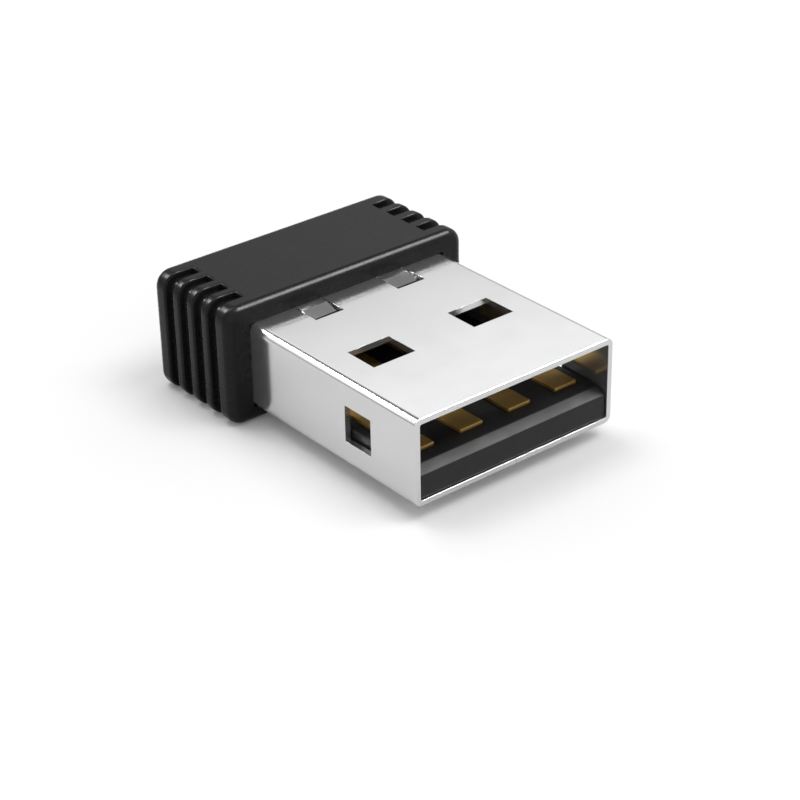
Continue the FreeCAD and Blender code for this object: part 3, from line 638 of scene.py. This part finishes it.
@dataclass
class Tongue:
    """The moulded tongue: a sloped nose, a block behind it, and a channel for each contact."""

    thickness: float = 1.48
    nose_length: float = 0.52
    nose_drop: float = 0.3
    block_length: float = 1.5
    recess_depth: float = 0.5
    channel_gap: float = 0.04
    edge_rounding: float = 0.04
    edge_turn: float = math.radians(20)
    rounding_steps: int = 3
    margin: float = 1.0
    box: Box = field(default_factory=lambda: Box.of_node("tongue"))

    def block_front(self) -> float:
        """Where the block behind the nose starts along Y."""
        return self.box.high.y - self.block_length

    def build(self, shell: PlugShell, contacts: list["Contact"]) -> bpy.types.Object:
        """Models the tongue.

        Args:
            shell: The shell, whose tabs need their recesses.
            contacts: The contacts, which lie in the channels.

        Returns:
            The finished tongue.
        """
        low, high = self.box.low, self.box.high
        top = low.z + self.thickness
        block_front = self.block_front()
        piece = Workpiece("moulded_tongue", Box(low, Vector((high.x, high.y, top))))
        piece.cut(Axis.Y, low.y + self.nose_length, block_front)
        piece.extrude(lambda centre, normal: normal.z > FLAT and centre.y > block_front,
                      Vector((0.0, 0.0, high.z - top)))
        piece.shift(lambda point: same(point.y, low.y) and same(point.z, top),
                    Vector((0.0, 0.0, -self.nose_drop)))
        piece.round_edges(lambda a, b: max(a.y, b.y) < high.y - TOUCH, self.edge_rounding,
                          self.rounding_steps, self.edge_turn)
        recess_half = shell.tab_width / 2 + shell.tab_gap
        recess_front = block_front - self.margin
        for side in SIDES:
            middle = side * shell.tab_offset
            piece.carve(Workpiece("recess", Box(
                Vector((middle - recess_half, recess_front, high.z - self.recess_depth)),
                Vector((middle + recess_half, high.y + self.margin, high.z + self.margin)))))
        gap = self.channel_gap
        for contact in contacts:
            far = Vector((contact.box.high.x, high.y + self.margin, contact.box.high.z))
            piece.carve(Workpiece("channel", Box(
                contact.box.low - Vector((gap, gap, 0.0)), far + Vector((gap, 0.0, gap)))))
        return piece.finish("tongue", "tongue_plastic")


@dataclass
class Contact:
    """One flat strip contact: a blade, a barbed neck in the block, and a soldered tail."""

    node: str
    neck_setback: float = 0.2
    barb_setback: float = 0.5
    barb_length: float = 0.45
    tail_width: float = 0.84
    step: float = 0.02
    front_rounding: float = 0.06
    side_rounding: float = 0.03
    rounding_steps: int = 3

    def __post_init__(self) -> None:
        """Reads the contact's place from its node."""
        self.box = Box.of_node(self.node)

    def build(self, block_front: float) -> bpy.types.Object:
        """Models the contact, from its blade to its tail.

        Args:
            block_front: Where the tongue's block starts along Y.

        Returns:
            The finished contact.
        """
        low, high = self.box.low, self.box.high
        wide = high.x - low.x
        narrow = self.tail_width / wide
        neck, barb = block_front + self.neck_setback, block_front + self.barb_setback
        name = self.node.replace("contact_", "") + "_contact"
        piece = Workpiece(name, Box(low, Vector((high.x, neck, high.z))))
        place = neck
        for end, spread in ((neck + self.step, narrow), (barb - self.step, 1.0),
                            (barb, 1 / narrow), (barb + self.barb_length, narrow),
                            (high.y, 1.0)):
            self.draw_out(piece, place, end, spread)
            place = end
        piece.round_edges(lambda a, b: same(a.y, low.y) and same(b.y, low.y),
                          self.front_rounding, self.rounding_steps, CORNER_TURN)
        piece.round_edges(lambda a, b: a.z > high.z - TOUCH and b.z > high.z - TOUCH,
                          self.side_rounding, self.rounding_steps, CORNER_TURN)
        return piece.finish(self.node, "contact_gold")

    def draw_out(self, piece: Workpiece, start: float, end: float, spread: float) -> None:
        """Draws the strip's back end out, and changes its width.

        Args:
            piece: The contact.
            start: Where its back end is along Y.
            end: Where it is drawn to.
            spread: How many times wider it gets there.
        """
        with piece.selecting("FACE", lambda centre, normal: normal.y > FLAT
                             and same(centre.y, start)):
            bpy.ops.mesh.extrude_region_move(
                TRANSFORM_OT_translate={"value": (0.0, end - start, 0.0)})
            bpy.ops.transform.resize(value=(spread, 1.0, 1.0),
                                     center_override=(self.box.middle().x, end, 0.0))


def put(tree: Tree, kind: str, inputs: dict | None = None,
        **settings: object) -> bpy.types.Node:
    """Adds a node to a tree.

    Args:
        tree: The tree of a material, a world or a group.
        kind: The node's type.
        inputs: A value or an output socket for each input, by name or place.
        settings: The node's own settings.

    Returns:
        The new node.
    """
    node = tree.nodes.new(kind)
    for name, value in settings.items():
        setattr(node, name, value)
    for name, value in (inputs or {}).items():
        if isinstance(value, Socket):
            tree.links.new(value, node.inputs[name])
        else:
            node.inputs[name].default_value = value
    return node


def calc(tree: Tree, operation: str, first: Value, second: Value,
         clamp: bool = False) -> Socket:
    """What a Math node makes of two values, kept between 0 and 1 if clamped."""
    return put(tree, "ShaderNodeMath", {0: first, 1: second}, operation=operation,
               use_clamp=clamp).outputs[0]


def remap(tree: Tree, value: Value, source: Span, target: tuple[Value, Value] = (0.0, 1.0),
          smooth: bool = False) -> Socket:
    """Brings a value from one range to another, and keeps it there.

    Args:
        tree: The tree.
        value: The value.
        source: The range that it comes from.
        target: The range that it is brought to.
        smooth: Whether it eases in and out at both ends.

    Returns:
        The value in its new range.
    """
    return put(tree, "ShaderNodeMapRange",
               {"Value": value, "From Min": source[0], "From Max": source[1],
                "To Min": target[0], "To Max": target[1]},
               interpolation_type="SMOOTHSTEP" if smooth else "LINEAR").outputs[0]


def blend(tree: Tree, share: Value, low: object, high: object, kind: str = "FLOAT") -> Socket:
    """A number or a colour between two others, at the second where the share is 1."""
    a, b, out = MIX_SOCKETS[kind]
    return put(tree, "ShaderNodeMix", {0: share, a: low, b: high}, data_type=kind).outputs[out]


def noise(tree: Tree, places: Socket, detail: float, roughness: float = 0.5) -> Socket:
    """Smooth noise, with one swell to each unit of its places."""
    inputs = {"Vector": places, "Scale": 1.0, "Detail": detail, "Roughness": roughness}
    return put(tree, "ShaderNodeTexNoise", inputs).outputs["Fac"]


def scaled(tree: Tree, vector: Socket | Colour, times: Value) -> Socket:
    """A vector or a colour times a number."""
    return put(tree, "ShaderNodeVectorMath", {0: vector, "Scale": times},
               operation="SCALE").outputs[0]


def places_per(tree: Tree, size: Value) -> Socket:
    """Object coordinates counted in a size in millimetres."""
    spot = put(tree, "ShaderNodeTexCoord").outputs["Object"]
    return scaled(tree, spot, calc(tree, "DIVIDE", 1.0, calc(tree, "MULTIPLY", size, MM)))


class Pattern(Enum):
    """The node groups that the finishes share."""

    GRAIN = "fine_grain"
    LINES = "drawn_lines"
    BLOTCHES = "soft_blotches"
    WEAR = "edge_wear"


class PatternBook:
    """Builds each shared node group once, and puts it in materials."""

    NOISE_REACH = (0.3, 0.7)        # what most of the noise lies between
    OPEN_REACH = (0.97, 0.55)       # the open share within, where rubbing starts and is full
    PATCH_REACH = (0.35, 0.6)       # the noise, where rubbing starts and is full
    OPEN_SAMPLES = 8

    def __init__(self) -> None:
        """Starts with no group built."""
        self.groups: dict[Pattern, Tree] = {}

    def use(self, tree: Tree, pattern: Pattern, **values: float) -> Socket:
        """Places a pattern in a material.

        Args:
            tree: The material's tree.
            pattern: The pattern.
            values: The pattern's own values in this material.

        Returns:
            The pattern's output.
        """
        if pattern not in self.groups:
            self.groups[pattern] = self.make(pattern)
        return put(tree, "ShaderNodeGroup", values, node_tree=self.groups[pattern]).outputs[0]

    def make(self, pattern: Pattern) -> Tree:
        """Builds a pattern's group.

        Args:
            pattern: The pattern.

        Returns:
            The group, with named sockets.
        """
        fill, output, inputs = {
            Pattern.GRAIN: (self.grain, "Height", {"Size": 0.05}),
            Pattern.LINES: (self.lines, "Height", {"Size": 0.03, "Length": 60.0}),
            Pattern.BLOTCHES: (self.blotches, "Value", {"Size": 2.0, "Low": 0.3, "High": 0.4}),
            Pattern.WEAR: (self.wear, "Mask", {"Width": 0.1, "Amount": 1.0, "Size": 0.4}),
        }[pattern]
        tree = bpy.data.node_groups.new(pattern.value, "ShaderNodeTree")
        for label, value in inputs.items():
            socket = tree.interface.new_socket(label, in_out="INPUT",
                                               socket_type="NodeSocketFloat")
            socket.default_value = value
        tree.interface.new_socket(output, in_out="OUTPUT", socket_type="NodeSocketFloat")
        entry = put(tree, "NodeGroupInput")
        put(tree, "NodeGroupOutput", {output: fill(tree, entry.outputs)})
        return tree

    def grain(self, tree: Tree, given: Sockets) -> Socket:
        """Fine random grain, as a spark-eroded mould leaves."""
        return noise(tree, places_per(tree, given["Size"]), detail=3.0, roughness=0.6)

    def lines(self, tree: Tree, given: Sockets) -> Socket:
        """Draws lines that run along Y, as rolling and polishing leave on sheet.

        Args:
            tree: The group's tree.
            given: The group's inputs.

        Returns:
            The lines' height.
        """
        parts = put(tree, "ShaderNodeSeparateXYZ", {0: places_per(tree, given["Size"])}).outputs
        drawn = calc(tree, "DIVIDE", parts["Y"], given["Length"])
        joined = put(tree, "ShaderNodeCombineXYZ", {"X": parts["X"], "Y": drawn, "Z": parts["Z"]})
        return noise(tree, joined.outputs[0], detail=2.0)

    def blotches(self, tree: Tree, given: Sockets) -> Socket:
        """Slow variation between two values, as handling and moulding leave."""
        swells = noise(tree, places_per(tree, given["Size"]), detail=4.0, roughness=0.55)
        return remap(tree, swells, self.NOISE_REACH, (given["Low"], given["High"]))

    def wear(self, tree: Tree, given: Sockets) -> Socket:
        """Finds the outward edges, broken up where they were rubbed less.

        Args:
            tree: The group's tree.
            given: The group's inputs.

        Returns:
            A mask of what is rubbed.
        """
        inside = put(tree, "ShaderNodeAmbientOcclusion",
                     {"Distance": calc(tree, "MULTIPLY", given["Width"], MM)},
                     inside=True, only_local=True, samples=self.OPEN_SAMPLES)
        edge = remap(tree, inside.outputs["AO"], self.OPEN_REACH)
        patches = noise(tree, places_per(tree, given["Size"]), detail=5.0)
        rubbed = calc(tree, "MULTIPLY", edge, remap(tree, patches, self.PATCH_REACH))
        return calc(tree, "MULTIPLY", rubbed, given["Amount"], clamp=True)


@dataclass(frozen=True)
class Finish:
    """A surface finish. Lengths are in millimetres.

    Attributes:
        name: The material's name.
        colour: The surface's own colour.
        worn_and_glint: The colour where its edges are rubbed. On the gold contacts it is plain
            bright gold, which also paints highlights along their edges.
        roughness: The least and the most roughness.
        metallic: How much it shines as bare metal does, up to 1.
        specular: The strength of the gloss.
        relief: How high the grain or the lines stand.
        texture: The pattern that the relief follows.
        texture_size: The size of that pattern.
        blotch: The size of the slow variation.
        shade: How much the slow variation changes the colour.
        wear: How strongly the edges are rubbed.
        wear_width: How far the rubbing reaches from an edge.
        gloss_blotches: How many times smaller the variation of the roughness is.
    """

    name: str
    colour: Colour
    worn_and_glint: Colour
    roughness: Span
    metallic: float = 0.0
    specular: float = 0.5
    relief: float = 0.001
    texture: Pattern = Pattern.GRAIN
    texture_size: float = 0.05
    blotch: float = 2.0
    shade: float = 0.1
    wear: float = 0.3
    wear_width: float = 0.12
    gloss_blotches: float = 3.0

    def material(self, patterns: PatternBook) -> bpy.types.Material:
        """Builds the finish's material.

        Args:
            patterns: The shared patterns.

        Returns:
            The material.
        """
        material = bpy.data.materials.new(self.name)
        material.use_nodes = True
        material.diffuse_color = (*self.colour, 1.0)
        tree = material.node_tree
        tree.nodes.clear()
        rubbed = patterns.use(tree, Pattern.WEAR, Width=self.wear_width, Amount=self.wear)
        shade = patterns.use(tree, Pattern.BLOTCHES, Size=self.blotch,
                             Low=1.0 - self.shade, High=1.0 + self.shade)
        shaded = scaled(tree, self.colour, shade)
        # The edges under the mask take the second colour: rubbed edges, which on the gold
        # contacts also paint highlights.
        colour = blend(tree, rubbed, shaded, (*self.worn_and_glint, 1.0), "RGBA")
        rough = patterns.use(tree, Pattern.BLOTCHES, Size=self.blotch / self.gloss_blotches,
                             Low=self.roughness[0], High=self.roughness[1])
        height = patterns.use(tree, self.texture, Size=self.texture_size)
        bump = put(tree, "ShaderNodeBump",
                   {"Height": height, "Distance": self.relief * MM, "Strength": 1.0})
        surface = put(tree, "ShaderNodeBsdfPrincipled",
                      {"Base Color": colour, "Roughness": rough,
                       "Normal": bump.outputs[0], "Metallic": self.metallic,
                       "Specular IOR Level": self.specular})
        put(tree, "ShaderNodeOutputMaterial", {"Surface": surface.outputs[0]})
        return material


CAP_PLASTIC = Finish(
    "satin_black_moulding", (0.01, 0.01, 0.0103), (0.03, 0.03, 0.031), (0.24, 0.3),
    specular=0.11, relief=0.002)
TONGUE_PLASTIC = Finish(
    "smooth_black_moulding", (0.011, 0.011, 0.0115), (0.03, 0.03, 0.031), (0.45, 0.53),
    specular=0.21, texture_size=0.04)
SHELL_STEEL = Finish(
    "bright_plated_sheet", (0.6, 0.6, 0.605), (0.72, 0.72, 0.72), (0.11, 0.16), metallic=0.9,
    relief=0.0006, texture=Pattern.LINES, texture_size=0.03, blotch=4.0, shade=0.02,
    wear_width=0.08)
# Contacts: their own colour is a darkened gold, painted shade of the inside of the shell. Their
# rubbed edges turn bright gold, which also paints highlights along them.
CONTACT_GOLD = Finish(
    "gold_flash", (0.36, 0.23, 0.07), (0.75, 0.54, 0.26), (0.6, 0.66), metallic=0.9,
    relief=0.0008, texture=Pattern.LINES, texture_size=0.03, blotch=1.0, shade=0.06,
    wear_width=0.05)
BOARD_LAMINATE = Finish(
    "green_solder_mask", (0.012, 0.12, 0.05), (0.25, 0.26, 0.12), (0.22, 0.3), relief=0.003,
    texture_size=0.25, blotch=1.5, shade=0.12)
PAD_GOLD = Finish(
    "gold_on_copper", (0.75, 0.55, 0.25), (0.8, 0.62, 0.35), (0.25, 0.34), metallic=1.0,
    texture_size=0.03, blotch=0.6, wear_width=0.03)
CHIP_RESIN = Finish(
    "moulding_compound", (0.02, 0.02, 0.022), (0.06, 0.06, 0.062), (0.55, 0.65), relief=0.004,
    texture_size=0.04, blotch=1.0, wear_width=0.06)
LEAD_TIN = Finish(
    "matte_tin", (0.66, 0.65, 0.62), (0.75, 0.74, 0.7), (0.35, 0.45), metallic=1.0,
    relief=0.002, texture_size=0.02, blotch=0.5, wear_width=0.03)
CRYSTAL_CERAMIC = Finish(
    "fired_ceramic", (0.2, 0.18, 0.16), (0.32, 0.3, 0.27), (0.5, 0.6), relief=0.003,
    texture_size=0.03, blotch=0.7, wear_width=0.05)
CRYSTAL_METAL = Finish(
    "plated_lid", (0.78, 0.74, 0.64), (0.86, 0.83, 0.75), (0.2, 0.28), metallic=1.0,
    texture=Pattern.LINES, blotch=0.8, wear_width=0.04)
CAPACITOR_CERAMIC = Finish(
    "brown_ceramic", (0.32, 0.2, 0.12), (0.45, 0.32, 0.2), (0.4, 0.5), relief=0.002,
    texture_size=0.03, blotch=0.5, wear_width=0.03)
RESISTOR_GLAZE = Finish(
    "black_glaze", (0.015, 0.015, 0.017), (0.05, 0.05, 0.05), (0.2, 0.3), texture_size=0.04,
    blotch=0.5, wear_width=0.03)
SOLDER = Finish(
    "reflowed_solder", (0.7, 0.7, 0.7), (0.78, 0.78, 0.78), (0.18, 0.3), metallic=1.0,
    relief=0.003, texture_size=0.12, blotch=0.4, wear=0.1, wear_width=0.03)

INNER_FINISHES = {
    "circuit_board": BOARD_LAMINATE,
    "board_pads": PAD_GOLD,
    "controller_chip": CHIP_RESIN,
    "controller_leads": LEAD_TIN,
    "crystal_base": CRYSTAL_CERAMIC,
    "crystal_lid": CRYSTAL_METAL,
    "regulator_body": CHIP_RESIN,
    "regulator_leads": LEAD_TIN,
    "capacitors": CAPACITOR_CERAMIC,
    "capacitor_terminals": LEAD_TIN,
    "resistors": RESISTOR_GLAZE,
    "resistor_terminals": LEAD_TIN,
    "contact_solder": SOLDER,
    "shell_solder": SOLDER,
}


class PaintShop:
    """Makes each finish's material once and puts it on pieces."""

    def __init__(self) -> None:
        """Starts with no material made."""
        self.patterns = PatternBook()
        self.materials: dict[Finish, bpy.types.Material] = {}

    def dress(self, piece: bpy.types.Object, finish: Finish) -> None:
        """Gives a piece one finish all over.

        Args:
            piece: The object.
            finish: Its finish.
        """
        if finish not in self.materials:
            self.materials[finish] = finish.material(self.patterns)
        piece.data.materials.clear()
        piece.data.materials.append(self.materials[finish])
        LOG.info("%s: %s", piece.name, finish.name)


@dataclass(frozen=True)
class Lamp:
    """A soft box that shines at the object.

    Attributes:
        name: The lamp's name.
        way: The way to it from the object.
        long_way: The way that its longer side lies, as near as it can.
        distance: How far off it hangs, in metres.
        width: The length of its shorter side, in metres.
        length: The length of its longer side, in metres.
        power: Its power, in watts.
        glints_only: Whether it shows in glossy surfaces alone.
    """

    name: str
    way: Way
    long_way: Way
    distance: float
    width: float
    length: float
    power: float
    glints_only: bool = False

    def hang(self) -> None:
        """Hangs the lamp."""
        light = bpy.data.lights.new(self.name, "AREA")
        light.shape = "RECTANGLE"
        light.size = self.width
        light.size_y = self.length
        light.energy = self.power
        back = Vector(self.way).normalized()
        across = Vector(self.long_way).cross(back).normalized()
        hook = bpy.data.objects.new(self.name, light)
        hook.location = back * self.distance
        hook.rotation_euler = Matrix((across, back.cross(across), back)).transposed().to_euler()
        hook.visible_diffuse = not self.glints_only
        bpy.context.scene.collection.objects.link(hook)


@dataclass
class Studio:
    """The camera, the pale table and the soft light."""

    camera_place: tuple[float, float, float] = (-0.05840, -0.07331, 0.05285)
    camera_turn: tuple[float, float, float] = (60.697, 0.983, -39.387)
    lens: float = 98.9955
    sensor: float = 36.0
    nearest: float = 0.001
    table_reach: float = 4.0
    table_colour: Colour = (0.92, 0.92, 0.92)
    table_lift: float = 0.03
    sky_light: float = 0.6
    sky_gloss: Span = (0.6, 1.55)
    sky_edge: Span = (0.643, 0.745)
    sky_way: Way = (0.432, 0.076, 0.899)
    gap_gloss: float = 0.2
    gap_start: Span = (0.61, 0.66)
    gap_end: Span = (0.79, 0.85)
    front_gloss: float = 1.2
    front_edge: Span = (0.1, -0.3)
    lamps: tuple[Lamp, ...] = (
        Lamp("far_box", (-0.12, 0.33, 0.93), (1.0, 0.0, 0.0), 0.5, 0.2, 0.25, 0.65),
        Lamp("near_box", (0.3, -0.38, 0.87), (1.0, 0.0, 0.0), 0.5, 0.2, 0.25, 0.77),
        Lamp("front_box", (0.53, -0.28, 0.8), (0.0, 1.0, 0.0), 0.5, 0.12, 0.24, 3.8, True),
        Lamp("back_box", (-0.3, 0.68, 0.67), (-0.53, 0.0, -0.44), 0.4, 0.06, 0.12, 1.2, True),
        Lamp("edge_box", (-0.58, 0.68, 0.42), (-0.53, 0.0, -0.44), 0.4, 0.06, 0.16, 0.038, True),
    )

    def build(self) -> None:
        """Sets up the camera, the table, the sky and the lamps."""
        self.place_camera()
        self.lay_table()
        self.light_sky()
        for lamp in self.lamps:
            lamp.hang()

    def place_camera(self) -> None:
        """Sets the camera where the object is seen from."""
        camera = bpy.data.cameras.new("camera")
        camera.lens = self.lens
        camera.sensor_width = self.sensor
        camera.clip_start = self.nearest
        stand = bpy.data.objects.new("camera", camera)
        stand.location = self.camera_place
        stand.rotation_euler = [math.radians(angle) for angle in self.camera_turn]
        bpy.context.scene.collection.objects.link(stand)
        bpy.context.scene.camera = stand

    def seen_or_mirrored(self, tree: Tree) -> Socket:
        """Tells what the camera sees, itself or through a polished or clear surface.

        Args:
            tree: The tree of a material.

        Returns:
            1 where it looks, and 0 where light only passes.
        """
        path = put(tree, "ShaderNodeLightPath").outputs
        mirrored = calc(tree, "MAXIMUM", path["Is Glossy Ray"], path["Is Transmission Ray"])
        return calc(tree, "MAXIMUM", path["Is Camera Ray"], mirrored)

    def lay_table(self) -> None:
        """Lays the table top, which looks white and keeps the object's shadow."""
        bpy.ops.object.select_all(action="DESELECT")
        bpy.ops.mesh.primitive_plane_add(size=self.table_reach)
        table = bpy.context.object
        table.name = "table"
        material = bpy.data.materials.new("pale_table")
        material.use_nodes = True
        tree = material.node_tree
        tree.nodes.clear()
        lift = calc(tree, "MULTIPLY", self.seen_or_mirrored(tree), self.table_lift)
        plain = put(tree, "ShaderNodeBsdfDiffuse", {"Color": (*self.table_colour, 1.0)})
        glow = put(tree, "ShaderNodeEmission", {"Strength": lift})
        both = put(tree, "ShaderNodeAddShader", {0: plain.outputs[0], 1: glow.outputs[0]})
        put(tree, "ShaderNodeOutputMaterial", {"Surface": both.outputs[0]})
        table.data.materials.append(material)

    def light_sky(self) -> None:
        """Lights the room evenly, but with bright and dark bands for polished surfaces."""
        world = bpy.data.worlds.new("studio")
        world.use_nodes = True
        tree = world.node_tree
        tree.nodes.clear()
        path = put(tree, "ShaderNodeLightPath").outputs
        way = put(tree, "ShaderNodeTexCoord").outputs["Generated"]
        towards = put(tree, "ShaderNodeVectorMath", {0: way, 1: self.sky_way},
                      operation="DOT_PRODUCT").outputs["Value"]
        gloss = remap(tree, towards, self.sky_edge, self.sky_gloss, smooth=True)
        parts = put(tree, "ShaderNodeSeparateXYZ", {0: way}).outputs
        gap = calc(tree, "SUBTRACT", remap(tree, parts["Z"], self.gap_start, smooth=True),
                   remap(tree, parts["Z"], self.gap_end, smooth=True))
        lowered = blend(tree, gap, gloss, self.gap_gloss)
        ahead = remap(tree, parts["Y"], self.front_edge, smooth=True)
        mirrored = blend(tree, ahead, lowered, self.front_gloss)
        lit = blend(tree, path["Is Glossy Ray"], self.sky_light, mirrored)
        seen = calc(tree, "MAXIMUM", path["Is Camera Ray"], path["Is Transmission Ray"])
        sky = put(tree, "ShaderNodeBackground",
                  {"Color": (1.0, 1.0, 1.0, 1.0), "Strength": blend(tree, seen, lit, 1.0)})
        put(tree, "ShaderNodeOutputWorld", {"Surface": sky.outputs[0]})
        bpy.context.scene.world = world


def main() -> None:
    """Builds the studio, the pieces and their finishes."""
    logging.basicConfig(level=logging.INFO, format="%(name)s: %(message)s")
    bpy.context.scene.view_settings.view_transform = "Standard"
    Studio().build()

    shell = PlugShell()
    cap = Cap()
    contacts = [Contact(node) for node in ("contact_power", "contact_data_minus",
                                           "contact_data_plus", "contact_ground")]
    tongue = Tongue()

    shop = PaintShop()
    shop.dress(shell.build(), SHELL_STEEL)
    shop.dress(cap.build(shell), CAP_PLASTIC)
    shop.dress(tongue.build(shell, contacts), TONGUE_PLASTIC)
    for contact in contacts:
        shop.dress(contact.build(tongue.block_front()), CONTACT_GOLD)
    for node, finish in INNER_FINISHES.items():
        shop.dress(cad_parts[node], finish)


if __name__ == "__main__":
    main()
